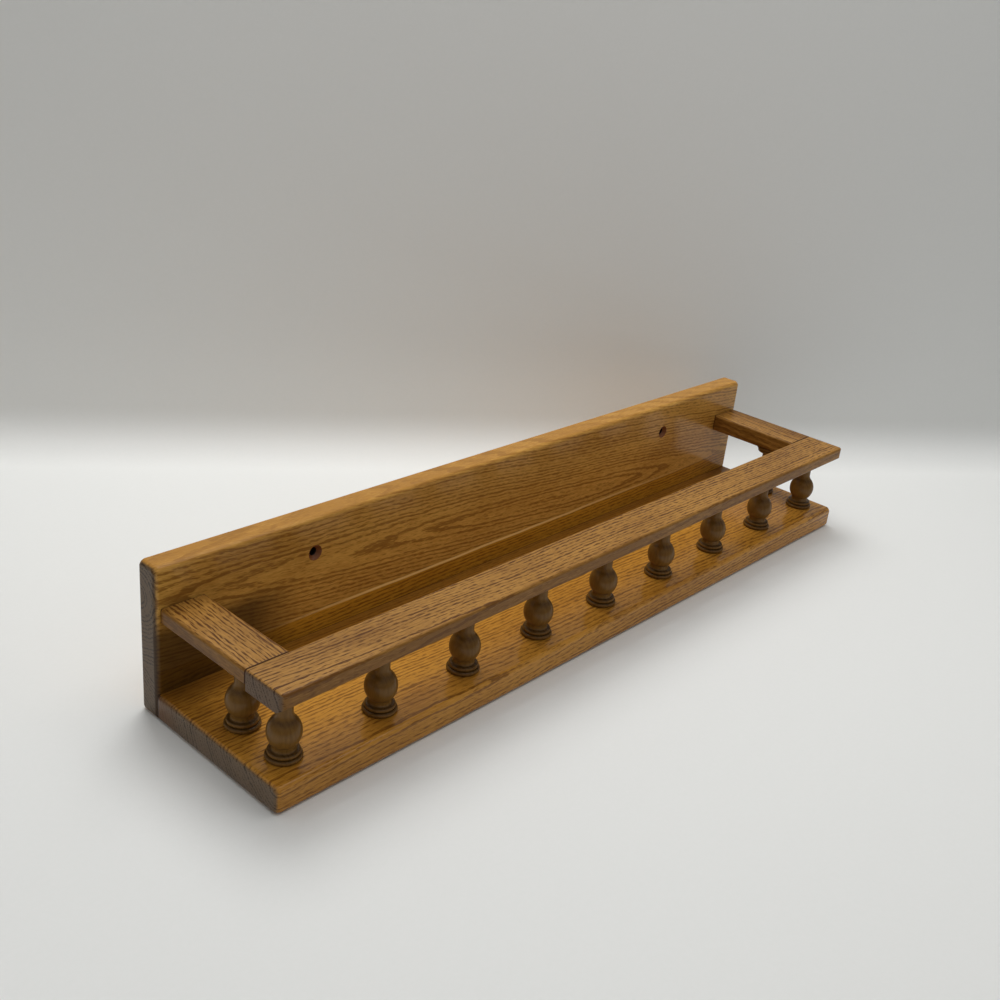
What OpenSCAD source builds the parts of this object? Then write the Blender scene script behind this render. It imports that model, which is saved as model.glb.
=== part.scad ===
// Wall plate rack: a shelf board on a back board, with a gallery rail on turned spindles.
// Millimetres. X runs along the shelf, +Y towards the wall and +Z up. The origin lies under
// the middle of the rack, in the plane of its underside.

/* [Boards] */
// Length of the shelf board and the back board
length = 654; // [560:1:900]
// Depth of the shelf board, in front of the back board
shelf_depth = 122; // [110:1:170]
// Thickness of the shelf board
shelf_thickness = 19; // [16:0.5:25]
// Height of the back board
back_height = 109; // [100:1:150]
// Thickness of the back board
back_thickness = 19; // [16:0.5:25]
// Radius of the boards' eased edges
board_edge = 3.5; // [1:0.5:5]

/* [Plate groove] */
// Width of the round-bottomed groove that a plate's rim stands in
groove_width = 6.4; // [4:0.2:8]
// Distance from the back board to the middle of the groove
groove_setback = 38; // [25:1:60]
// Distance from each end of the shelf to the end of the groove
groove_stop = 42; // [30:1:80]

/* [Rails] */
// Thickness of all three rails
rail_thickness = 15.5; // [14:0.5:19]
// Height of a rail's upright outer face, above the bevel
rail_face = 10; // [8:0.5:12]
// How far the bevel runs in under the rail
rail_bevel = 8; // [5:0.5:9]
// Radius of the guide that the bevel's cutter ran on, which shapes the ends of the side bevels
bevel_guide = 6.4; // [4:0.4:12]
// Distance from the front rail at which the side bevels begin to run out
bevel_stop = 2.5; // [0:0.5:10]
// Width of the front rail
front_rail_width = 34.6; // [30:0.2:45]
// Width of the two side rails
side_rail_width = 32.5; // [28:0.5:40]
// Distance that the front rail stays back from the shelf's front edge
rail_front_inset = 1.2; // [0:0.2:5]
// Distance that the rails stay in from the shelf's ends
rail_end_inset = 3.4; // [0:0.2:6]
// Radius of the rails' eased edges
rail_edge = 2.2; // [0.4:0.2:3]
// Radius of the front rail's two upright front corners
rail_corner = 3.6; // [2.4:0.2:6]
// Smaller radius of the edges that meet at the joints of the rails
joint_edge = 0.8; // [0.2:0.2:1.6]

/* [Spindle places] */
// Number of spindles under the front rail
front_spindles = 9; // [3:1:9]
// Distance from the shelf's ends to the end spindles and the side spindles
spindle_end_inset = 23; // [18:0.5:26]
// Distance from the shelf's front edge to the row of front spindles
spindle_front_inset = 23.6; // [18:0.2:28]
// Distance from the back board to the side spindles
side_spindle_setback = 57.5; // [30:0.5:70]

/* [Spindle turning] */
// Height of a spindle between the shelf and the rail
spindle_height = 46.5; // [45:0.5:60]
// Radius of the discs at the foot and at the top, which mirror each other
foot_radius = 11.6; // [10:0.2:13]
// Height of those discs
foot_height = 3.1; // [2:0.1:4]
// Radius of the rings next to those discs
ring_radius = 10.3; // [8.5:0.1:11]
// Height of those rings
ring_height = 2.9; // [2:0.1:4]
// Radius of the waist between the ring and the ball
waist_radius = 7.3; // [5:0.1:7.5]
// Radius of the small cove at the waist
waist_cove = 1.3; // [0.5:0.1:1.5]
// Radius of the ball at its widest
ball_radius = 10.9; // [9:0.1:12]
// Radius of the arc that the ball has in profile
ball_arc = 13; // [11:0.2:16]
// Height of the ball's widest part above the shelf
ball_height = 18.3; // [15:0.1:20]
// Radius of the neck above the ball
neck_radius = 5.2; // [4:0.1:6]
// Height of the narrowest part of the neck above the shelf
neck_height = 32; // [30:0.5:34]
// Radius of the cove between the neck and the top ring
neck_cove = 3.6; // [2:0.1:5]

/* [Spindle tenons] */
// Radius of the tenons
tenon_radius = 3.15; // [2.5:0.05:4]
// Length of the tenon in the shelf
shelf_tenon = 10; // [6:0.5:14]
// Length of the tenon in the rail
rail_tenon = 9; // [4:0.5:12]
// Gap between a tenon and the wall of its bore
tenon_gap = 0.1; // [0.05:0.05:0.3]

/* [Wall holes] */
// Distance between the two holes for wall screws, one stud spacing
wall_hole_spacing = 406.4; // [300:0.1:500]
// Distance of the holes below the back board's top edge
wall_hole_drop = 26.5; // [20:0.5:40]
// Radius of the holes
wall_hole_radius = 2.75; // [2:0.05:3.5]
// Radius of their countersinks at the front face
wall_sink_radius = 5.5; // [4.5:0.1:7]

/* [Shelf screws] */
// Number of wood screws through the back board into the shelf board
shelf_screws = 4; // [2:1:6]
// Distance from the ends to the first and last screw
screw_end_inset = 60; // [40:1:100]
// Length of a screw
screw_length = 38; // [32:1:50]
// Radius of a screw's shank
screw_radius = 2.1; // [1.5:0.1:3]
// Radius of a screw's head
screw_head_radius = 4.1; // [3.5:0.1:5]
// Depth of a head below the back board's rear face
screw_sink = 0.4; // [0:0.1:1]
// Gap between a screw and the wood round it
screw_gap = 0.1; // [0.05:0.05:0.3]

/* [Rail dowels] */
// Radius of the dowels at the ends of the side rails
dowel_radius = 3; // [2:0.1:3.5]
// Length of a dowel, half of it in each piece
dowel_length = 16; // [10:1:16]
// Distance between the two dowels of a joint
dowel_spacing = 17; // [15:0.5:20]
// Gap between a dowel and the wall of its bore
dowel_gap = 0.05; // [0.02:0.01:0.2]

/* [Hidden] */
$fn = 96;
// What stays open past the end of a tenon, a dowel or a screw in its blind bore
end_room = 0.5;
// Bevel at the ends of tenons and dowels
pin_bevel = 0.6;
// Half the angle of a countersunk head
sink_angle = 41;
// Height of a screw's point
screw_point = 5;
// Width and depth of the cross in a screw's head
cross_width = 1.1;
cross_depth = 1.4;
// How far a cutter runs past the face that it starts from
past = 1;

total_depth = shelf_depth + back_thickness;
front_y = -total_depth / 2;
wall_y = total_depth / 2;
board_y = wall_y - back_thickness;
rail_z = shelf_thickness + spindle_height;
rail_mid_z = rail_z + rail_thickness / 2;
rail_front_y = front_y + rail_front_inset;
rail_back_y = rail_front_y + front_rail_width;
rail_end_x = length / 2 - rail_end_inset;
side_rail_x = rail_end_x - side_rail_width / 2;
spindle_end_x = length / 2 - spindle_end_inset;
spindle_pitch = 2 * spindle_end_x / (front_spindles - 1);
front_spindle_y = front_y + spindle_front_inset;
side_spindle_y = board_y - side_spindle_setback;
waist_z = foot_height + ring_height;
screw_pitch = (length - 2 * screw_end_inset) / (shelf_screws - 1);
screw_z = shelf_thickness / 2;

OAK = [0.66, 0.46, 0.25];
DARK_OAK = [0.33, 0.22, 0.13];
BEECH = [0.80, 0.66, 0.46];
STEEL = [0.72, 0.72, 0.70];

function front_spindle_x(i) = -spindle_end_x + (i - 1) * spindle_pitch;
function cone_height(wide, narrow) = (wide - narrow) / tan(sink_angle);

// Rectangle from the origin, with the radii of its corners in the order
// low left, low right, high right, high left
module eased_rectangle(size, radii) {
    difference() {
        square(size);
        for (i = [0:3]) if (radii[i] > 0) {
            right = i == 1 || i == 2;
            high = i >= 2;
            translate([right ? size.x : 0, high ? size.y : 0])
                mirror([right ? 1 : 0, 0])
                mirror([0, high ? 1 : 0])
                difference() {
                    translate([-past, -past]) square(radii[i] + past);
                    translate([radii[i], radii[i]]) circle(radii[i]);
                }
        }
    }
}

// Board with eased edges. along_x, along_y and along_z give the radii of the four edges that run
// along each axis, read in the section that looks along +X, +Y or +Z
module eased_board(size, along_x, along_y, along_z) {
    intersection() {
        rotate([90, 0, 90]) linear_extrude(size.x) eased_rectangle([size.y, size.z], along_x);
        translate([0, size.y, 0]) rotate([90, 0, 0])
            linear_extrude(size.y) eased_rectangle([size.x, size.z], along_y);
        linear_extrude(size.z) eased_rectangle([size.x, size.y], along_z);
    }
}

// Cutter that takes the point off a corner where three edges of one radius meet. Its ball lies
// just outside the middles of those edges, so it runs into them with no step
module corner_cutter(r) {
    middle = 1.4 * r;
    ball = sqrt(2) * (middle - r) + r + 0.05;
    difference() {
        translate([-past, -past, -past]) cube(middle + past);
        translate([middle, middle, middle]) sphere(ball);
    }
}

// Those cutters for the corners of a board, each an [x, y, z] of 0 for its low and 1 for its high end
module corner_cutters(size, r, corners) {
    for (c = corners)
        translate([c.x * size.x, c.y * size.y, c.z * size.z])
            mirror([c.x, 0, 0]) mirror([0, c.y, 0]) mirror([0, 0, c.z])
            corner_cutter(r);
}

// Round bar along +Z with bevelled ends
module pin(radius, height) {
    rotate_extrude() polygon([
        [0, 0], [radius - pin_bevel, 0], [radius, pin_bevel],
        [radius, height - pin_bevel], [radius - pin_bevel, height], [0, height]
    ]);
}

// Half section of a disc with a fully rounded rim
module disc_section(radius, height) {
    square([radius - height / 2, height]);
    translate([radius - height / 2, height / 2]) circle(height / 2);
}

// Half section of the disc and the ring at either end of a spindle
module end_section() {
    disc_section(foot_radius, foot_height);
    translate([0, foot_height]) disc_section(ring_radius, ring_height);
}

// Half section that a cove leaves above (or, mirrored, below) a flat shoulder at height 0
module cove_section(inner, cove) {
    difference() {
        square([inner + cove, cove]);
        translate([inner + cove, cove]) circle(cove);
    }
}

// Half section from the ball to the neck, where the hollow cove runs on smoothly from the ball.
// The ball's arc has its centre past the axis
module ball_to_neck_section() {
    centre = ball_radius - ball_arc;
    reach = neck_radius - centre;
    rise = neck_height - ball_height;
    cove = (reach ^ 2 + rise ^ 2 - ball_arc ^ 2) / (2 * (ball_arc - reach));
    translate([centre, ball_height]) circle(ball_arc);
    difference() {
        polygon([[centre, ball_height], [neck_radius + cove, neck_height], [centre, neck_height]]);
        translate([neck_radius + cove, neck_height]) circle(cove);
    }
}

// Half section of a spindle with its tenons, height 0 on the shelf
module spindle_section() {
    intersection() {
        translate([0, -shelf_tenon]) square([2 * foot_radius, shelf_tenon + spindle_height + rail_tenon]);
        union() {
            end_section();
            translate([0, waist_z]) cove_section(waist_radius, waist_cove);
            translate([0, waist_z]) square([waist_radius, ball_height - waist_z]);
            intersection() {
                translate([0, waist_z]) square([2 * foot_radius, neck_height - waist_z]);
                ball_to_neck_section();
            }
            translate([0, neck_height]) square([neck_radius, spindle_height - waist_z - neck_height]);
            translate([0, spindle_height]) mirror([0, 1]) {
                translate([0, waist_z]) cove_section(neck_radius, neck_cove);
                end_section();
            }
            polygon([
                [0, -shelf_tenon], [tenon_radius - pin_bevel, -shelf_tenon],
                [tenon_radius, pin_bevel - shelf_tenon], [tenon_radius, pin_bevel], [0, pin_bevel]
            ]);
            translate([0, spindle_height]) polygon([
                [0, -pin_bevel], [tenon_radius, -pin_bevel], [tenon_radius, rail_tenon - pin_bevel],
                [tenon_radius - pin_bevel, rail_tenon], [0, rail_tenon]
            ]);
        }
    }
}

module spindle() {
    color(DARK_OAK) rotate_extrude() spindle_section();
}

// Everything below stands at its place in the rack

module at_front_spindle(i) {
    translate([front_spindle_x(i), front_spindle_y, shelf_thickness]) children();
}

// side is -1 for the left end and 1 for the right end
module at_side_spindle(side) {
    translate([side * spindle_end_x, side_spindle_y, shelf_thickness]) children();
}

module at_each_screw() {
    for (i = [0:shelf_screws - 1])
        translate([i * screw_pitch + screw_end_inset - length / 2, wall_y, screw_z])
            rotate([90, 0, 0]) children();
}

// The middles of the dowels at the ends of a side rail, with Z along the dowel
module at_each_dowel(side) {
    for (x = [-dowel_spacing / 2, dowel_spacing / 2], y = [rail_back_y, board_y])
        translate([side * side_rail_x + x, y, rail_mid_z]) rotate([90, 0, 0]) children();
}

// Section of what the bevel takes off under a rail's outer face, with the face at 0 and the rail's
// underside at height 0. The edge where the bevel meets the face is eased as the others are
module bevel_section() {
    r = rail_edge;
    slope = atan2(rail_thickness - rail_face, rail_bevel);
    middle = rail_thickness - rail_face + r * tan((90 - slope) / 2);
    difference() {
        polygon([
            [-past, middle], [r, middle], [r - r * sin(slope), middle - r * cos(slope)],
            [rail_bevel + past / tan(slope), -past], [-past, -past]
        ]);
        translate([r, middle]) circle(r);
    }
}

module front_bevel() {
    translate([-rail_end_x - past, rail_front_y, rail_z])
        rotate([90, 0, 90]) linear_extrude(2 * (rail_end_x + past)) bevel_section();
}

module side_bevel(side) {
    mirror([side < 0 ? 1 : 0, 0, 0])
        translate([rail_end_x, rail_back_y - past, rail_z]) rotate([90, 0, 180])
        linear_extrude(board_y - rail_back_y + 2 * past) bevel_section();
}

// The round cutter of a side bevel left this run-out on the end of the front rail
module side_bevel_end(side) {
    translate([side * (rail_end_x + bevel_guide), rail_back_y + bevel_stop, rail_z])
        rotate_extrude() translate([bevel_guide, 0]) bevel_section();
}

// Bores from the shelf up and down for the tenons of one spindle
module tenon_bores() {
    bore = tenon_radius + tenon_gap;
    translate([0, 0, -shelf_tenon - end_room]) cylinder(r = bore, h = shelf_tenon + end_room + past);
    translate([0, 0, spindle_height - past]) cylinder(r = bore, h = rail_tenon + end_room + past);
}

module dowel_bores(side) {
    at_each_dowel(side)
        cylinder(r = dowel_radius + dowel_gap, h = dowel_length + 2 * end_room, center = true);
}

// Cutter for a screw whose head is sunk below the face at height 0
module screw_hole() {
    head = screw_head_radius + screw_gap;
    shank = screw_radius + screw_gap;
    translate([0, 0, -past]) cylinder(r = head, h = past + screw_sink);
    translate([0, 0, screw_sink]) cylinder(r1 = head, r2 = shank, h = cone_height(head, shank));
    cylinder(r = shank, h = screw_length + screw_sink + end_room);
}

module wall_hole() {
    sink = cone_height(wall_sink_radius, wall_hole_radius);
    translate([0, 0, -past]) cylinder(r = wall_hole_radius, h = back_thickness + 2 * past);
    cylinder(r1 = wall_sink_radius, r2 = wall_hole_radius, h = sink);
    translate([0, 0, -past]) cylinder(r = wall_sink_radius, h = past);
}

module back_board() {
    r = board_edge;
    size = [length, back_thickness, back_height];
    color(OAK) difference() {
        translate([-length / 2, board_y, 0]) difference() {
            eased_board(size, [0, r, r, r], [r, r, r, r], [r, r, r, r]);
            corner_cutters(size, r, [for (x = [0, 1]) each [[x, 1, 0], [x, 0, 1], [x, 1, 1]]]);
        }
        for (side = [-1, 1])
            translate([side * wall_hole_spacing / 2, board_y, back_height - wall_hole_drop])
                rotate([-90, 0, 0]) wall_hole();
        at_each_screw() screw_hole();
        dowel_bores(-1);
        dowel_bores(1);
    }
}

module plate_groove() {
    r = groove_width / 2;
    run = length - 2 * groove_stop - groove_width;
    translate([0, board_y - groove_setback, shelf_thickness]) {
        rotate([0, 90, 0]) cylinder(r = r, h = run, center = true);
        for (side = [-1, 1]) translate([side * run / 2, 0, 0]) sphere(r);
    }
}

module shelf_board() {
    r = board_edge;
    size = [length, shelf_depth, shelf_thickness];
    color(OAK) difference() {
        translate([-length / 2, front_y, 0]) difference() {
            eased_board(size, [r, 0, 0, r], [r, r, r, r], [r, r, 0, 0]);
            corner_cutters(size, r, [for (x = [0, 1], z = [0, 1]) [x, 0, z]]);
        }
        plate_groove();
        for (i = [1:front_spindles]) at_front_spindle(i) tenon_bores();
        for (side = [-1, 1]) at_side_spindle(side) tenon_bores();
        at_each_screw() screw_hole();
    }
}

module front_rail() {
    r = rail_edge;
    j = joint_edge;
    c = rail_corner;
    size = [2 * rail_end_x, front_rail_width, rail_thickness];
    color(OAK) difference() {
        translate([-rail_end_x, rail_front_y, rail_z]) difference() {
            eased_board(size, [0, j, j, r], [r, r, r, r], [c, c, j, j]);
            corner_cutters(size, r, [[0, 0, 1], [1, 0, 1]]);
        }
        front_bevel();
        for (side = [-1, 1]) side_bevel_end(side);
        for (i = [1:front_spindles]) at_front_spindle(i) tenon_bores();
        dowel_bores(-1);
        dowel_bores(1);
    }
}

module side_rail(side) {
    r = rail_edge;
    j = joint_edge;
    color(OAK) difference() {
        translate([side * side_rail_x - side_rail_width / 2, rail_back_y, rail_z])
            eased_board([side_rail_width, board_y - rail_back_y, rail_thickness],
                [0, 0, j, j], [side < 0 ? 0 : r, side < 0 ? r : 0, r, r], [j, j, j, j]);
        side_bevel(side);
        at_side_spindle(side) tenon_bores();
        dowel_bores(side);
    }
}

module left_side_rail() {
    side_rail(-1);
}

module right_side_rail() {
    side_rail(1);
}

module front_spindle(i) {
    at_front_spindle(i) spindle();
}

module left_side_spindle() {
    at_side_spindle(-1) spindle();
}

module right_side_spindle() {
    at_side_spindle(1) spindle();
}

module wood_screw() {
    head = cone_height(screw_head_radius, screw_radius);
    difference() {
        rotate_extrude() polygon([
            [0, 0], [screw_head_radius, 0], [screw_radius, head],
            [screw_radius, screw_length - screw_point], [0, screw_length]
        ]);
        for (turn = [0, 90]) rotate(turn)
            translate([-screw_radius, -cross_width / 2, -past])
            cube([2 * screw_radius, cross_width, past + cross_depth]);
    }
}

module shelf_screws() {
    color(STEEL) at_each_screw() translate([0, 0, screw_sink]) wood_screw();
}

module rail_dowels(side) {
    color(BEECH) at_each_dowel(side)
        translate([0, 0, -dowel_length / 2]) pin(dowel_radius, dowel_length);
}

module left_rail_dowels() {
    rail_dowels(-1);
}

module right_rail_dowels() {
    rail_dowels(1);
}

back_board();
shelf_board();
front_rail();
left_side_rail();
right_side_rail();
for (i = [1:front_spindles])
    front_spindle(i);
left_side_spindle();
right_side_spindle();
shelf_screws();
left_rail_dowels();
right_rail_dowels();
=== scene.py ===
"""Looks of a wall plate rack: an oak shelf with a back board and a gallery rail on turned spindles."""
import math

import bmesh
import bpy
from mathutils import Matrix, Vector

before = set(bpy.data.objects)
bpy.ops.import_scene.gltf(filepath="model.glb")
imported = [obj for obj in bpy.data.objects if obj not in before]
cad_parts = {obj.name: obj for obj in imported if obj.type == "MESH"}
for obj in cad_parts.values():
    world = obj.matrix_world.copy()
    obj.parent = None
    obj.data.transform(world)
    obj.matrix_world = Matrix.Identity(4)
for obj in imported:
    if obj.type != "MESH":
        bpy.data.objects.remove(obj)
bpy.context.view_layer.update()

# ---------------------------------------------------------------------------------------------
# The back board is red oak: two strips glued edge to edge, planed and eased, wiped with a
# golden-brown stain and sprayed with a glossy lacquer. It is screwed to the wall through two
# countersunk holes.

MM = 0.001


def colour(hex_code):
    """The linear colour of an sRGB hex code."""
    parts = [int(hex_code[i : i + 2], 16) / 255 for i in (1, 3, 5)]
    return tuple(p / 12.92 if p <= 0.04045 else ((p + 0.055) / 1.055) ** 2.4 for p in parts) + (1,)


def node(material, kind, inputs=None, **settings):
    """Adds a node to a material or the world, with its settings, and sets or links its inputs.

    A Mix node takes its share at input 0, two colours at 6 and 7 or two numbers at 2 and 3."""
    made = material.node_tree.nodes.new(kind)
    for name, value in settings.items():
        setattr(made, name, value)
    for key, value in (inputs or {}).items():
        if isinstance(value, bpy.types.NodeSocket):
            material.node_tree.links.new(value, made.inputs[key])
        else:
            made.inputs[key].default_value = value
    return made


def new_material(name):
    """An empty material."""
    material = bpy.data.materials.new(name)
    material.use_nodes = True
    material.node_tree.nodes.clear()
    return material


def dress(names, material):
    """Gives CAD nodes a material in all their slots."""
    for name in names:
        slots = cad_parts[name].data.materials
        if not slots:
            slots.append(material)
        for i in range(len(slots)):
            slots[i] = material


# Red oak grows about 3 mm a year. Its pores are 0.3 mm wide, too fine to show, so they are drawn
# in cells 0.9 mm wide and 7 mm long. Some years leave wider and darker bands than others.
RING = 2.8 * MM
PORE_CELL = (1 / (7 * MM), 1 / (0.9 * MM), 1 / (0.9 * MM))
PORE_EDGE = (-0.05, 0.24)
PORES_IN_EARLY_WOOD = 0.7
YEAR_STRENGTH = (0.35, 1.0)

# How porous the wood is across one ring: open early wood, then dense late wood.
LATE_WOOD = 0.15
RING_PROFILE = ((0.12, 1.0), (0.40, 1.0), (0.62, 0.25), (0.8, 0.1))

# The log swerves over 60 mm and its fibres wander over 6 mm. Each row has the waves per metre
# along and across the log, the noise's detail, and how far it pushes the rings sideways.
WANDER = (((4, 16, 16), 1.5, 15 * MM), ((45, 170, 170), 2.0, 3 * MM))

# Fibres 1 mm wide and patches about 30 mm wide make the ground lighter and darker. Early wood
# darkens it too, and a painted shade darkens faces turned toward the quiet side; over this span of
# their sum it turns from light to middle.
FIBRES = (110, 1000, 1000)
PATCHES = (8, 30, 30)
NOISE_ROUGHNESS = 0.55
EARLY_SHADE = 0.3
QUIET_SIDE_PAINTED_SHADE = 0.35
SHADE_SPAN = (0.85, 1.4)

# A quiet side shows about half of the streaks. End grain takes over on faces that lean this far.
QUIET_STREAKS = 0.55
END_GRAIN_SPAN = (0.5, 0.85)


def oak_grain(material, log, grain, tones, streaks, quiet_and_shaded_side=(0, 0, 0)):
    """Sawn oak: the colour and the height of its surface.

    Log moves (mm) and turns (degrees) the board to where it was sawn from a log that runs along X.
    The early wood of each ring is a porous band, and its open pores hold the stain as dark dashes
    along the grain; streaks is how strongly they show. Faces across the board's grain drink more
    stain and turn a greyer brown. A quiet side was cut along the rings, so few pores are open, and a
    painted shade darkens its ground."""
    light, middle, pore, end, end_pore = (colour(tone) for tone in tones)
    offset, turn = log
    place = node(material, "ShaderNodeMapping", {
        "Vector": node(material, "ShaderNodeTexCoord").outputs["Object"],
        "Location": tuple(v * MM for v in offset),
        "Rotation": tuple(math.radians(v) for v in turn)}).outputs[0]

    fibre_place = place
    for waves, detail, reach in WANDER:
        push = node(material, "ShaderNodeTexNoise", {
            "Vector": node(material, "ShaderNodeVectorMath", {0: place, 1: waves},
                           operation="MULTIPLY").outputs[0],
            "Scale": 1.0, "Detail": detail, "Roughness": NOISE_ROUGHNESS}).outputs["Color"]
        fibre_place = node(material, "ShaderNodeVectorMath", {0: push, 1: (0, reach, reach), 2: fibre_place},
                           operation="MULTIPLY_ADD").outputs[0]

    across_log = node(material, "ShaderNodeVectorMath", {0: fibre_place, 1: (0, 1, 1)},
                      operation="MULTIPLY").outputs[0]
    radius = node(material, "ShaderNodeVectorMath", {0: across_log}, operation="LENGTH").outputs["Value"]
    years = node(material, "ShaderNodeMath", {0: radius, 1: RING}, operation="DIVIDE").outputs[0]
    year = node(material, "ShaderNodeMath", {0: years}, operation="FLOOR").outputs[0]
    season = node(material, "ShaderNodeTexWhiteNoise", {"W": year}, noise_dimensions="1D").outputs["Value"]
    strength = node(material, "ShaderNodeMapRange", {
        "Value": season, "To Min": YEAR_STRENGTH[0], "To Max": YEAR_STRENGTH[1]}).outputs["Result"]
    profile = node(material, "ShaderNodeValToRGB", {
        "Fac": node(material, "ShaderNodeMath", {0: years}, operation="FRACT").outputs[0]})
    stops = profile.color_ramp.elements
    for stop in (stops[0], stops[1]):
        stop.color = (LATE_WOOD, LATE_WOOD, LATE_WOOD, 1)
    for position, level in RING_PROFILE:
        stops.new(position).color = (level, level, level, 1)
    early = node(material, "ShaderNodeMath", {0: profile.outputs["Color"], 1: strength},
                 operation="MULTIPLY").outputs[0]

    cells = node(material, "ShaderNodeTexVoronoi", {
        "Vector": node(material, "ShaderNodeVectorMath", {0: fibre_place, 1: PORE_CELL},
                       operation="MULTIPLY").outputs[0], "Scale": 1.0}).outputs["Distance"]
    pores = node(material, "ShaderNodeMapRange", {
        "Value": node(material, "ShaderNodeMath", {0: early, 1: -PORES_IN_EARLY_WOOD, 2: cells},
                      operation="MULTIPLY_ADD").outputs[0],
        "From Min": PORE_EDGE[0], "From Max": PORE_EDGE[1], "To Min": 1.0, "To Max": 0.0}).outputs["Result"]

    fibres, patches = (
        node(material, "ShaderNodeTexNoise", {
            "Vector": node(material, "ShaderNodeVectorMath", {0: where, 1: waves},
                           operation="MULTIPLY").outputs[0],
            "Scale": 1.0, "Detail": 2.0, "Roughness": NOISE_ROUGHNESS}).outputs["Fac"]
        for where, waves in ((fibre_place, FIBRES), (place, PATCHES)))
    facing = node(material, "ShaderNodeTexCoord").outputs["Normal"]
    toward_quiet = node(material, "ShaderNodeVectorMath", {0: facing, 1: quiet_and_shaded_side},
                        operation="DOT_PRODUCT").outputs["Value"]
    quiet_and_shaded = node(material, "ShaderNodeMath", {0: toward_quiet}, operation="ABSOLUTE").outputs[0]
    wood_shade = node(material, "ShaderNodeMath", {0: early, 1: EARLY_SHADE, 2: patches},
                      operation="MULTIPLY_ADD").outputs[0]
    # Faces turned toward the quiet side are painted darker: a painted shade.
    fibres_and_painted_side_shade = node(material, "ShaderNodeMath", {0: quiet_and_shaded, 1: QUIET_SIDE_PAINTED_SHADE, 2: fibres},
                      operation="MULTIPLY_ADD").outputs[0]
    shade = node(material, "ShaderNodeMath", {0: wood_shade, 1: fibres_and_painted_side_shade}, operation="ADD").outputs[0]
    ground = node(material, "ShaderNodeMix", {
        0: node(material, "ShaderNodeMapRange", {
            "Value": shade, "From Min": SHADE_SPAN[0], "From Max": SHADE_SPAN[1]}).outputs["Result"],
        6: light, 7: middle}, data_type="RGBA").outputs[2]

    shown = node(material, "ShaderNodeMapRange", {
        "Value": quiet_and_shaded, "To Min": streaks, "To Max": QUIET_STREAKS * streaks}).outputs["Result"]
    open_pores = node(material, "ShaderNodeMath", {0: shown, 1: pores}, operation="MULTIPLY").outputs[0]
    streaked = node(material, "ShaderNodeMix", {0: open_pores, 6: ground, 7: pore},
                    data_type="RGBA").outputs[2]
    end_tone = node(material, "ShaderNodeMix", {0: pores, 6: end, 7: end_pore},
                    data_type="RGBA").outputs[2]
    toward_end = node(material, "ShaderNodeVectorMath", {0: facing, 1: grain},
                      operation="DOT_PRODUCT").outputs["Value"]
    end_share = node(material, "ShaderNodeMapRange", {
        "Value": node(material, "ShaderNodeMath", {0: toward_end}, operation="ABSOLUTE").outputs[0],
        "From Min": END_GRAIN_SPAN[0], "From Max": END_GRAIN_SPAN[1]}).outputs["Result"]
    tone = node(material, "ShaderNodeMix", {0: end_share, 6: streaked, 7: end_tone},
                data_type="RGBA").outputs[2]
    height = node(material, "ShaderNodeMath", {0: pores, 1: -1.0}, operation="MULTIPLY").outputs[0]
    return tone, height


DENT_DEPTH = 0.02 * MM


def lacquer(material, tone, height, film):
    """A clear glossy film over stained wood. The open pores show through it as fine dents.

    Film is how much it mirrors and how rough it is. It is thin and worn, so it mirrors less than
    a full coat, and the stained wood under it hardly mirrors at all."""
    share, roughness = film
    dents = node(material, "ShaderNodeBump", {
        "Height": height, "Distance": DENT_DEPTH, "Strength": 1.0}).outputs[0]
    shader = node(material, "ShaderNodeBsdfPrincipled", {
        "Base Color": tone, "Roughness": 0.5, "IOR": 1.5, "Specular IOR Level": 0.05,
        "Coat Weight": share, "Coat Roughness": roughness, "Coat IOR": 1.5,
        "Normal": dents, "Coat Normal": dents})
    node(material, "ShaderNodeOutputMaterial", {"Surface": shader.outputs[0]})


ALONG_X = (1, 0, 0)
ALONG_Z = (0, 0, 1)

# Tones of a board: light and middle ground, open pore, end grain, and pore in the end grain.
# The upper strip is greyer than the lower: partly the strips' own tones, partly a painted sheen.
UPPER_TONES_AND_SHEEN = ("#d09e4c", "#ab7932", "#6f4414", "#655039", "#3f2f1e")
LOWER_TONES = ("#cd932c", "#ab741e", "#6c410c", "#655039", "#3f2f1e")
UPPER_LOG = ((0, -62, -68), (0, -4.6, 3.0))
LOWER_LOG = ((900, -100, 40), (0, 0.4, 0.6))
UPPER_STREAKS = 0.55
LOWER_STREAKS = 0.6
PANEL_FILM = (0.4, 0.12)

# A thin, slightly wavering pale line is painted along the glue joint between the strips: a painted
# highlight, which fades at both ends.
GLUE_HEIGHT = 35.3 * MM
JOINT_HIGHLIGHT_EDGE = (0.5 * MM, 1.4 * MM)
GLUE_WAVES = (14, 14, 0)
GLUE_WAVER = 2.0 * MM
JOINT_HIGHLIGHT_FADE_IN = (-255 * MM, -150 * MM)
JOINT_HIGHLIGHT_FADE_OUT = (20 * MM, 280 * MM)
JOINT_HIGHLIGHT_SHARE = 0.9
JOINT_HIGHLIGHT_TONE = "#ffd98c"

# Shade is painted into the countersinks and into the screw holes, and the left side rail's shadow is
# painted on the panel under it. Stain gathers in the joint with the shelf.
WALL_HOLE = (203.2 * MM, 0, 82.5 * MM)
SINK_RADIUS = 5.7 * MM
SINK_DEPTH = 6 * MM
SINK_PAINTED_SHADE = "#7b4a2a"
BORE_RADIUS = 3.0 * MM
BORE_PAINTED_SHADE = "#1d0f08"
PANEL_FRONT = 51.5 * MM
SHELF_TOP = 19 * MM
JOINT_DEPTH = 1.2 * MM
JOINT_RISE = 0.3 * MM
JOINT_STAIN = "#492c12"
RAIL_SHADOW_X = (-255 * MM, -215 * MM)
RAIL_SHADOW_Z = (60 * MM, 72 * MM)
RAIL_SHADOW_DEPTH = 3.5 * MM
RAIL_SHADOW_SHARE = 0.8
RAIL_SHADOW_TONE = "#3d2814"

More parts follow.
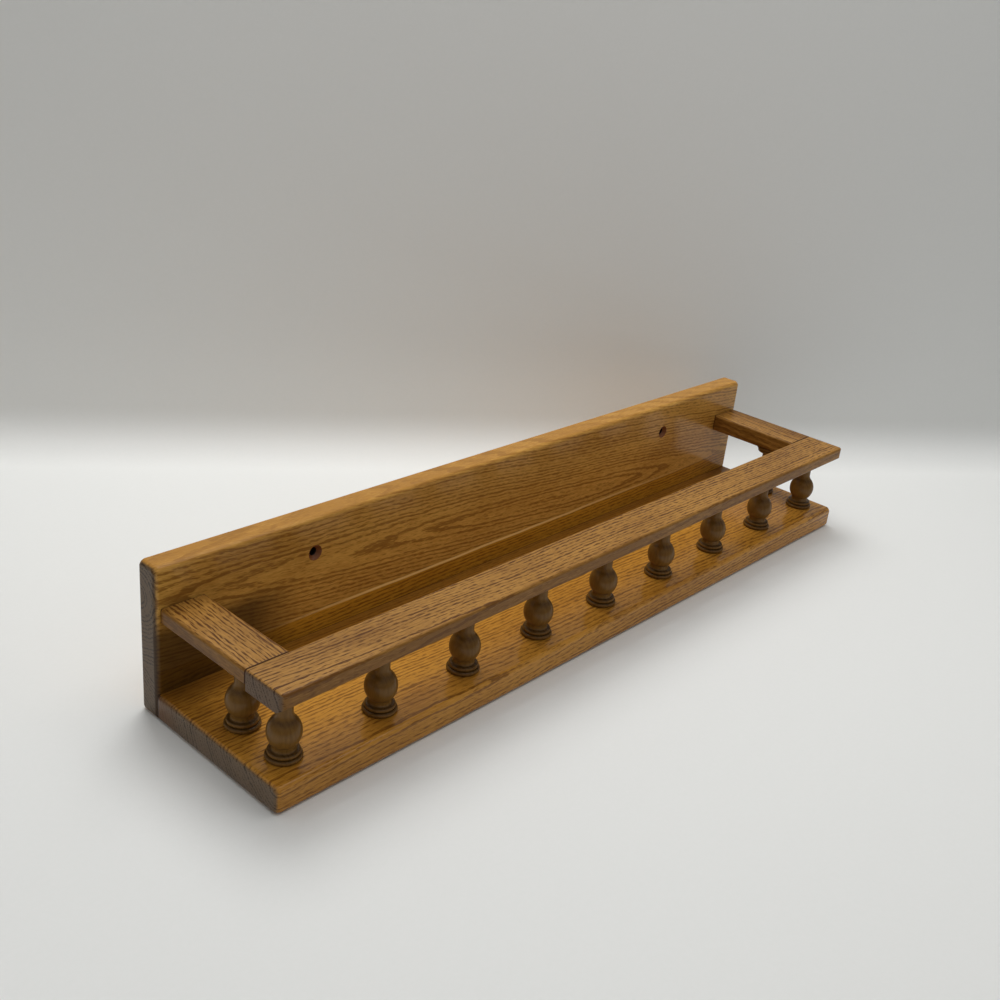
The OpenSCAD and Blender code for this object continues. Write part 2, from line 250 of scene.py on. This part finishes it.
panel_oak = new_material("stained_lacquered_oak_panel")
panel_at = node(panel_oak, "ShaderNodeTexCoord").outputs["Object"]
panel_xyz = node(panel_oak, "ShaderNodeSeparateXYZ", {0: panel_at})
upper_tone, upper_height = oak_grain(panel_oak, UPPER_LOG, ALONG_X, UPPER_TONES_AND_SHEEN, UPPER_STREAKS, ALONG_Z)
lower_tone, lower_height = oak_grain(panel_oak, LOWER_LOG, ALONG_X, LOWER_TONES, LOWER_STREAKS, ALONG_Z)
is_upper = node(panel_oak, "ShaderNodeMath", {0: panel_xyz.outputs["Z"], 1: GLUE_HEIGHT},
                operation="GREATER_THAN").outputs[0]
panel_tone = node(panel_oak, "ShaderNodeMix", {0: is_upper, 6: lower_tone, 7: upper_tone},
                  data_type="RGBA").outputs[2]
panel_height = node(panel_oak, "ShaderNodeMix", {0: is_upper, 2: lower_height, 3: upper_height},
                    data_type="FLOAT").outputs[0]

# The painted highlight along the joint: its waver, its width and its fade at both ends.
glue_waver = node(panel_oak, "ShaderNodeTexNoise", {
    "Vector": node(panel_oak, "ShaderNodeVectorMath", {0: panel_at, 1: GLUE_WAVES},
                   operation="MULTIPLY").outputs[0],
    "Scale": 1.0, "Detail": 1.0, "Roughness": NOISE_ROUGHNESS}).outputs["Fac"]
glue_level = node(panel_oak, "ShaderNodeMath", {0: glue_waver, 1: GLUE_WAVER, 2: panel_xyz.outputs["Z"]},
                  operation="MULTIPLY_ADD").outputs[0]
above_glue = node(panel_oak, "ShaderNodeMath", {0: glue_level, 1: GLUE_HEIGHT + GLUE_WAVER / 2},
                  operation="SUBTRACT").outputs[0]
painted_joint_highlight = node(panel_oak, "ShaderNodeMapRange", {
    "Value": node(panel_oak, "ShaderNodeMath", {0: above_glue}, operation="ABSOLUTE").outputs[0],
    "From Min": JOINT_HIGHLIGHT_EDGE[0], "From Max": JOINT_HIGHLIGHT_EDGE[1], "To Min": 1.0, "To Max": 0.0}).outputs["Result"]
fade_in = node(panel_oak, "ShaderNodeMapRange", {
    "Value": panel_xyz.outputs["X"],
    "From Min": JOINT_HIGHLIGHT_FADE_IN[0], "From Max": JOINT_HIGHLIGHT_FADE_IN[1]}).outputs["Result"]
fade_out = node(panel_oak, "ShaderNodeMapRange", {
    "Value": panel_xyz.outputs["X"], "From Min": JOINT_HIGHLIGHT_FADE_OUT[0], "From Max": JOINT_HIGHLIGHT_FADE_OUT[1],
    "To Min": JOINT_HIGHLIGHT_SHARE, "To Max": 0.0}).outputs["Result"]
joint_highlight_run = node(panel_oak, "ShaderNodeMath", {0: fade_in, 1: fade_out}, operation="MULTIPLY").outputs[0]
shown_joint_highlight = node(panel_oak, "ShaderNodeMath", {0: painted_joint_highlight, 1: joint_highlight_run},
                  operation="MULTIPLY").outputs[0]

panel_side = node(panel_oak, "ShaderNodeVectorMath", {0: panel_at}, operation="ABSOLUTE").outputs[0]
beside_hole = node(panel_oak, "ShaderNodeVectorMath", {0: panel_side, 1: WALL_HOLE},
                   operation="SUBTRACT").outputs[0]
from_hole = node(panel_oak, "ShaderNodeVectorMath", {
    0: node(panel_oak, "ShaderNodeVectorMath", {0: beside_hole, 1: (1, 0, 1)},
            operation="MULTIPLY").outputs[0]}, operation="LENGTH").outputs["Value"]
in_bore = node(panel_oak, "ShaderNodeMath", {0: from_hole, 1: BORE_RADIUS}, operation="LESS_THAN").outputs[0]
in_sink = node(panel_oak, "ShaderNodeMath", {
    0: node(panel_oak, "ShaderNodeMath", {0: from_hole, 1: SINK_RADIUS}, operation="LESS_THAN").outputs[0],
    1: node(panel_oak, "ShaderNodeMath", {0: panel_xyz.outputs["Y"], 1: PANEL_FRONT + SINK_DEPTH},
            operation="LESS_THAN").outputs[0]}, operation="MULTIPLY").outputs[0]
in_joint = node(panel_oak, "ShaderNodeMath", {
    0: node(panel_oak, "ShaderNodeMath", {0: panel_xyz.outputs["Y"], 1: PANEL_FRONT + JOINT_DEPTH},
            operation="LESS_THAN").outputs[0],
    1: node(panel_oak, "ShaderNodeMath", {0: panel_xyz.outputs["Z"], 1: SHELF_TOP + JOINT_RISE},
            operation="LESS_THAN").outputs[0]}, operation="MULTIPLY").outputs[0]
# The left side rail's shadow, painted on the panel's front below it.
under_rail = node(panel_oak, "ShaderNodeMath", {
    0: node(panel_oak, "ShaderNodeMapRange", {
        "Value": panel_xyz.outputs["X"], "From Min": RAIL_SHADOW_X[0], "From Max": RAIL_SHADOW_X[1],
        "To Min": RAIL_SHADOW_SHARE, "To Max": 0.0}).outputs["Result"],
    1: node(panel_oak, "ShaderNodeMapRange", {
        "Value": panel_xyz.outputs["Z"], "From Min": RAIL_SHADOW_Z[0], "From Max": RAIL_SHADOW_Z[1],
        "To Min": 1.0, "To Max": 0.0}).outputs["Result"]}, operation="MULTIPLY").outputs[0]
painted_rail_shadow = node(panel_oak, "ShaderNodeMath", {
    0: under_rail,
    1: node(panel_oak, "ShaderNodeMath", {0: panel_xyz.outputs["Y"], 1: PANEL_FRONT + RAIL_SHADOW_DEPTH},
            operation="LESS_THAN").outputs[0]}, operation="MULTIPLY").outputs[0]
# A painted highlight on the glue joint, painted shade in the countersinks and the screw holes, dark stain in
# the joint with the shelf, and the left side rail's painted shadow.
for share, other_tone in (
    (shown_joint_highlight, JOINT_HIGHLIGHT_TONE),
    (in_sink, SINK_PAINTED_SHADE),
    (in_bore, BORE_PAINTED_SHADE),
    (in_joint, JOINT_STAIN),
    (painted_rail_shadow, RAIL_SHADOW_TONE),
):
    panel_tone = node(panel_oak, "ShaderNodeMix", {0: share, 6: panel_tone, 7: colour(other_tone)},
                      data_type="RGBA").outputs[2]
lacquer(panel_oak, panel_tone, panel_height, PANEL_FILM)
dress(["back_board"], panel_oak)

# ---------------------------------------------------------------------------------------------
# The shelf board is one oak board, eased, stained and lacquered like the panel, and screwed to it
# from behind. The panel's shadow is painted on its back strip, which is darker there.

SHELF_TONES = ("#ca8f36", "#a56e22", "#6a4012", "#705a42", "#42321f")
SHELF_LOG = ((300, 95, -75), (0, 0.8, 1.4))
SHELF_STREAKS = 0.7
SHELF_FILM = (0.6, 0.14)
PANEL_SHADOW_TONE = "#6a4010"
PANEL_SHADOW_SHARE = 0.7
PANEL_SHADOW_SPAN = (PANEL_FRONT - 24 * MM, PANEL_FRONT - 6 * MM)
JOINT_DROP = 0.5 * MM

shelf_oak = new_material("stained_lacquered_oak_shelf")
tone, height = oak_grain(shelf_oak, SHELF_LOG, ALONG_X, SHELF_TONES, SHELF_STREAKS)
shelf_xyz = node(shelf_oak, "ShaderNodeSeparateXYZ", {
    0: node(shelf_oak, "ShaderNodeTexCoord").outputs["Object"]})
in_panel_shadow = node(shelf_oak, "ShaderNodeMapRange", {
    "Value": shelf_xyz.outputs["Y"], "From Min": PANEL_SHADOW_SPAN[0], "From Max": PANEL_SHADOW_SPAN[1],
    "To Min": 0.0, "To Max": PANEL_SHADOW_SHARE}).outputs["Result"]
in_joint = node(shelf_oak, "ShaderNodeMath", {
    0: node(shelf_oak, "ShaderNodeMath", {0: shelf_xyz.outputs["Y"], 1: PANEL_FRONT, 2: JOINT_DEPTH},
            operation="COMPARE").outputs[0],
    1: node(shelf_oak, "ShaderNodeMath", {0: shelf_xyz.outputs["Z"], 1: SHELF_TOP - JOINT_DROP},
            operation="LESS_THAN").outputs[0]}, operation="MULTIPLY").outputs[0]
# The panel's painted shadow on the back strip, then the dark stain in the joint.
for share, shelf_mark_tone in ((in_panel_shadow, PANEL_SHADOW_TONE), (in_joint, JOINT_STAIN)):
    tone = node(shelf_oak, "ShaderNodeMix", {0: share, 6: tone, 7: colour(shelf_mark_tone)},
                data_type="RGBA").outputs[2]
lacquer(shelf_oak, tone, height, SHELF_FILM)
dress(["shelf_board"], shelf_oak)

# ---------------------------------------------------------------------------------------------
# The front rail is a thinner oak strip, rift-sawn, eased along its top and bevelled underneath.
# The side rails butt against its back edge, and stain gathered as a dark line in those joints.

RAIL_TONES = ("#a97b3a", "#805723", "#532f0e", "#6b543f", "#42301f")
RAIL_STREAKS = 0.95
RAIL_FILM = (0.3, 0.22)
ALONG_Y = (0, 1, 0)
FRONT_RAIL_LOG = ((700, 112, -112), (0, 0.6, 1.5))
RAIL_JOINT = -34.7 * MM
FRONT_JOINT_WIDTH = 0.5 * MM
SIDE_RAIL_INNER = 290.5 * MM

front_rail_oak = new_material("stained_lacquered_oak_front_rail")
tone, height = oak_grain(front_rail_oak, FRONT_RAIL_LOG, ALONG_X, RAIL_TONES, RAIL_STREAKS, ALONG_Y)
rail_xyz = node(front_rail_oak, "ShaderNodeSeparateXYZ", {
    0: node(front_rail_oak, "ShaderNodeTexCoord").outputs["Object"]})
from_middle = node(front_rail_oak, "ShaderNodeMath", {0: rail_xyz.outputs["X"]},
                   operation="ABSOLUTE").outputs[0]
in_joint = node(front_rail_oak, "ShaderNodeMath", {
    0: node(front_rail_oak, "ShaderNodeMath", {
        0: rail_xyz.outputs["Y"], 1: RAIL_JOINT, 2: FRONT_JOINT_WIDTH}, operation="COMPARE").outputs[0],
    1: node(front_rail_oak, "ShaderNodeMath", {0: from_middle, 1: SIDE_RAIL_INNER},
            operation="GREATER_THAN").outputs[0]}, operation="MULTIPLY").outputs[0]
tone = node(front_rail_oak, "ShaderNodeMix", {0: in_joint, 6: tone, 7: colour(JOINT_STAIN)},
            data_type="RGBA").outputs[2]
lacquer(front_rail_oak, tone, height, RAIL_FILM)
dress(["front_rail"], front_rail_oak)

# ---------------------------------------------------------------------------------------------
# The two side rails are cut from the same strip, with their grain from front to back. Dowels and
# glue hold their ends to the front rail and the panel.

SIDE_RAIL_LOG = ((0, 340, -110), (0, 2.5, -87))
SIDE_JOINT_WIDTH = 0.8 * MM

side_rail_oak = new_material("stained_lacquered_oak_side_rails")
tone, height = oak_grain(side_rail_oak, SIDE_RAIL_LOG, ALONG_Y, RAIL_TONES, RAIL_STREAKS, ALONG_X)
side_y = node(side_rail_oak, "ShaderNodeSeparateXYZ", {
    0: node(side_rail_oak, "ShaderNodeTexCoord").outputs["Object"]}).outputs["Y"]
for joint in (RAIL_JOINT, PANEL_FRONT):
    in_joint = node(side_rail_oak, "ShaderNodeMath", {0: side_y, 1: joint, 2: SIDE_JOINT_WIDTH},
                    operation="COMPARE").outputs[0]
    tone = node(side_rail_oak, "ShaderNodeMix", {0: in_joint, 6: tone, 7: colour(JOINT_STAIN)},
                data_type="RGBA").outputs[2]
lacquer(side_rail_oak, tone, height, RAIL_FILM)
dress(["left_side_rail", "right_side_rail"], side_rail_oak)

# ---------------------------------------------------------------------------------------------
# The spindles are turned from close-grained hardwood, with a tenon at each end that is glued into
# the shelf and the rails. Their darker stain evens out the grain. The film over it fills most of
# the pores, and is smooth enough to mirror the shelf and the rails.

SPINDLE_TONES = ("#7d5a28", "#704f21", "#5a3c18", "#5c411d", "#4b3416")
SPINDLE_LOG = ((0, 40, 40), (0, 90, 0))
SPINDLE_STREAKS = 0.1
SPINDLE_DENTS = 0.15
SPINDLE_FILM = (0.35, 0.08)

spindle_wood = new_material("dark_stained_turned_wood")
tone, height = oak_grain(spindle_wood, SPINDLE_LOG, ALONG_Z, SPINDLE_TONES, SPINDLE_STREAKS)
filled = node(spindle_wood, "ShaderNodeMath", {0: height, 1: SPINDLE_DENTS},
              operation="MULTIPLY").outputs[0]
lacquer(spindle_wood, tone, filled, SPINDLE_FILM)
dress([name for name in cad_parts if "spindle" in name], spindle_wood)

# ---------------------------------------------------------------------------------------------
# Four zinc-plated steel wood screws hold the shelf to the panel. Zinc plate is a pale grey, with
# a mottle 1.4 mm across. A rolled thread runs along each shank. It is drawn with a groove every
# 4.8 mm, about twice as coarse as the real one.

ZINC_TONES = ("#c6c5bd", "#9c9b95")
ZINC_ROUGHNESS = (0.25, 0.5)
ZINC_MOTTLE = 700
HALF_GROOVE = 2.4 * MM
THREAD_DEPTH = 0.6

screw_steel = new_material("zinc_plated_steel")
screw_at = node(screw_steel, "ShaderNodeTexCoord").outputs["Object"]
mottle = node(screw_steel, "ShaderNodeTexNoise", {
    "Vector": screw_at, "Scale": ZINC_MOTTLE, "Detail": 2.0, "Roughness": NOISE_ROUGHNESS}).outputs["Fac"]
thread = node(screw_steel, "ShaderNodeMath", {
    0: node(screw_steel, "ShaderNodeSeparateXYZ", {0: screw_at}).outputs["Y"], 1: HALF_GROOVE},
    operation="PINGPONG").outputs[0]
grooves = node(screw_steel, "ShaderNodeBump", {"Height": thread, "Distance": 1.0, "Strength": THREAD_DEPTH})
zinc = node(screw_steel, "ShaderNodeMix", {0: mottle, 6: colour(ZINC_TONES[0]), 7: colour(ZINC_TONES[1])},
            data_type="RGBA").outputs[2]
shader = node(screw_steel, "ShaderNodeBsdfPrincipled", {
    "Base Color": zinc, "Metallic": 1.0,
    "Roughness": node(screw_steel, "ShaderNodeMapRange", {
        "Value": mottle, "To Min": ZINC_ROUGHNESS[0], "To Max": ZINC_ROUGHNESS[1]}).outputs["Result"],
    "Normal": grooves.outputs[0]})
node(screw_steel, "ShaderNodeOutputMaterial", {"Surface": shader.outputs[0]})
dress(["shelf_screws"], screw_steel)

# ---------------------------------------------------------------------------------------------
# Beech dowels, glued into both parts, pin the side rails. Raw beech is pale and close-grained,
# with short brown flecks about 2 mm long and 0.4 mm wide.

BEECH_TONES = ("#d2ae80", "#a47a4c")
FLECKS = (2500, 500, 2500)
FLECK_SPAN = (0.58, 0.7)
FLECK_DEPTH = 0.03 * MM

dowel_beech = new_material("raw_beech")
speckle = node(dowel_beech, "ShaderNodeTexNoise", {
    "Vector": node(dowel_beech, "ShaderNodeVectorMath", {
        0: node(dowel_beech, "ShaderNodeTexCoord").outputs["Object"], 1: FLECKS},
        operation="MULTIPLY").outputs[0],
    "Scale": 1.0, "Detail": 1.0, "Roughness": NOISE_ROUGHNESS}).outputs["Fac"]
flecks = node(dowel_beech, "ShaderNodeMapRange", {
    "Value": speckle, "From Min": FLECK_SPAN[0], "From Max": FLECK_SPAN[1]}).outputs["Result"]
beech = node(dowel_beech, "ShaderNodeMix", {0: flecks, 6: colour(BEECH_TONES[0]), 7: colour(BEECH_TONES[1])},
             data_type="RGBA").outputs[2]
shader = node(dowel_beech, "ShaderNodeBsdfPrincipled", {
    "Base Color": beech, "Roughness": 0.65,
    "Normal": node(dowel_beech, "ShaderNodeBump", {
        "Height": flecks, "Distance": FLECK_DEPTH, "Strength": 1.0}).outputs[0]})
node(dowel_beech, "ShaderNodeOutputMaterial", {"Surface": shader.outputs[0]})
dress(["left_rail_dowels", "right_rail_dowels"], dowel_beech)

# ---------------------------------------------------------------------------------------------
# The rack stands on a pale sheet of smooth matt paper, wide enough to fill the picture. The sheet
# is held up at the back, so that it curves up into a wall behind the rack.

SWEEP_LEFT = Vector((-131.8, 407.8, 0)) * MM
SWEEP_RIGHT = Vector((334, 78, 0)) * MM
SWEEP_RADIUS = 45 * MM
SWEEP_SEGMENTS = 20
SHEET_WIDTH = 6.0
SHEET_DEPTH = 2.6
SHEET_RISE = 1.6
PAPER_TONES = ("#e4e5e2", "#e7e7e5")
PAPER_MOTTLE = 300

bpy.ops.object.select_all(action="DESELECT")
foot = (SWEEP_LEFT + SWEEP_RIGHT) / 2
along = (SWEEP_RIGHT - SWEEP_LEFT).normalized()
away = Vector((-along.y, along.x, 0))
bpy.ops.mesh.primitive_plane_add(
    size=1, location=foot + away * (SWEEP_RADIUS - SHEET_DEPTH / 2),
    rotation=(0, 0, math.atan2(along.y, along.x)))
sheet = bpy.context.object
sheet.name = "paper_sweep"
sheet.scale = (SHEET_WIDTH, SHEET_DEPTH, 1)
bpy.ops.object.transform_apply(location=True, rotation=True, scale=True)
bpy.ops.object.mode_set(mode="EDIT")
bpy.context.tool_settings.mesh_select_mode = (False, True, False)
# The sheet's back edge is raised into the wall, and the fold at its foot is then rounded.
for step in ("raise", "round"):
    bpy.ops.mesh.select_all(action="DESELECT")
    sheet_edges = bmesh.from_edit_mesh(sheet.data)
    for edge in sheet_edges.edges:
        ends = [v.co - foot for v in edge.verts]
        if all(e.dot(away) > SWEEP_RADIUS - MM and e.z < MM for e in ends):
            edge.select_set(True)
    bmesh.update_edit_mesh(sheet.data)
    if step == "raise":
        bpy.ops.mesh.extrude_region_move(TRANSFORM_OT_translate={"value": (0, 0, SHEET_RISE)})
    else:
        bpy.ops.mesh.bevel(offset=SWEEP_RADIUS, segments=SWEEP_SEGMENTS, affect="EDGES")
bpy.ops.object.mode_set(mode="OBJECT")
bpy.ops.object.shade_smooth()

# Smooth matt paper, with a faint mottle of its fibres about 3 mm across. It is clear from its back,
# so that the rack can also be looked at from behind the wall.
paper = new_material("matt_paper")
mottle = node(paper, "ShaderNodeTexNoise", {
    "Vector": node(paper, "ShaderNodeTexCoord").outputs["Object"],
    "Scale": PAPER_MOTTLE, "Detail": 2.0, "Roughness": NOISE_ROUGHNESS}).outputs["Fac"]
paper_tone = node(paper, "ShaderNodeMix", {0: mottle, 6: colour(PAPER_TONES[0]), 7: colour(PAPER_TONES[1])},
                  data_type="RGBA").outputs[2]
shader = node(paper, "ShaderNodeBsdfPrincipled", {
    "Base Color": paper_tone, "Roughness": 0.7, "Specular IOR Level": 0.2})
one_sided = node(paper, "ShaderNodeMixShader", {
    0: node(paper, "ShaderNodeNewGeometry").outputs["Backfacing"],
    1: shader.outputs[0], 2: node(paper, "ShaderNodeBsdfTransparent").outputs[0]})
node(paper, "ShaderNodeOutputMaterial", {"Surface": one_sided.outputs[0]})
sheet.data.materials.append(paper)

# A wider floor of the same paper lies just under the sheet, for the views from behind.
FLOOR_SIZE = 12.0
FLOOR_DROP = 0.5 * MM
bpy.ops.mesh.primitive_plane_add(size=FLOOR_SIZE, location=(0, 0, -FLOOR_DROP))
floor = bpy.context.object
floor.name = "paper_floor"
floor.data.materials.append(paper)

# ---------------------------------------------------------------------------------------------
# Soft light comes from two panels, one behind and above the paper and one straight overhead, in a
# dim room with a pale ceiling. The thin paper lets the first one through, so it casts no shadow.

# Each panel has its name, its place, what it points at, its width in metres and its watts.
LIGHT_PANELS = (
    ("back_light", Vector((0.25, 0.65, 1.35)), Vector((0.0, 0.0, 0.0)), 0.8, 8.4),
    ("overhead_light", Vector((0.1, 0.1, 1.3)), Vector((0.1, 0.1, 0.0)), 1.2, 7.2),
)
WALL_LEVEL = 0.12
CEILING_LEVEL = 0.52

sheet.visible_shadow = False
for name, place, target, size, power in LIGHT_PANELS:
    panel = bpy.data.lights.new(name, "AREA")
    panel.shape = "SQUARE"
    panel.size = size
    panel.energy = power
    holder = bpy.data.objects.new(name, panel)
    holder.location = place
    holder.rotation_euler = (target - place).to_track_quat("-Z", "Y").to_euler()
    bpy.context.scene.collection.objects.link(holder)

room = bpy.data.worlds.new("dim_room")
room.use_nodes = True
room_glow = room.node_tree.nodes["Background"]
room_glow.inputs["Color"].default_value = (1, 1, 1, 1)
room_height = node(room, "ShaderNodeSeparateXYZ", {0: node(room, "ShaderNodeTexCoord").outputs["Generated"]})
room_light = node(room, "ShaderNodeMapRange", {
    "Value": room_height.outputs["Z"], "To Min": WALL_LEVEL, "To Max": CEILING_LEVEL})
room.node_tree.links.new(room_light.outputs["Result"], room_glow.inputs["Strength"])
bpy.context.scene.world = room

# ---------------------------------------------------------------------------------------------
# The camera stands to the left, in front and above, as in the photograph. Its place, turn and
# lens come from the photograph's perspective.

CAMERA_PLACE = Vector((-664.14, -501.15, 456.56)) * MM
CAMERA_TURN = (65.582, -5.529, -47.03)
CAMERA_LENS = 42.284
CAMERA_SENSOR = 36
NEAREST = 10 * MM

camera_data = bpy.data.cameras.new("camera")
camera_data.sensor_width = CAMERA_SENSOR
camera_data.lens = CAMERA_LENS
camera_data.clip_start = NEAREST
camera = bpy.data.objects.new("camera", camera_data)
camera.location = CAMERA_PLACE
camera.rotation_euler = tuple(math.radians(v) for v in CAMERA_TURN)
bpy.context.scene.collection.objects.link(camera)
bpy.context.scene.camera = camera

bpy.context.scene.view_settings.view_transform = "Standard"
bpy.context.scene.cycles.use_denoising = True
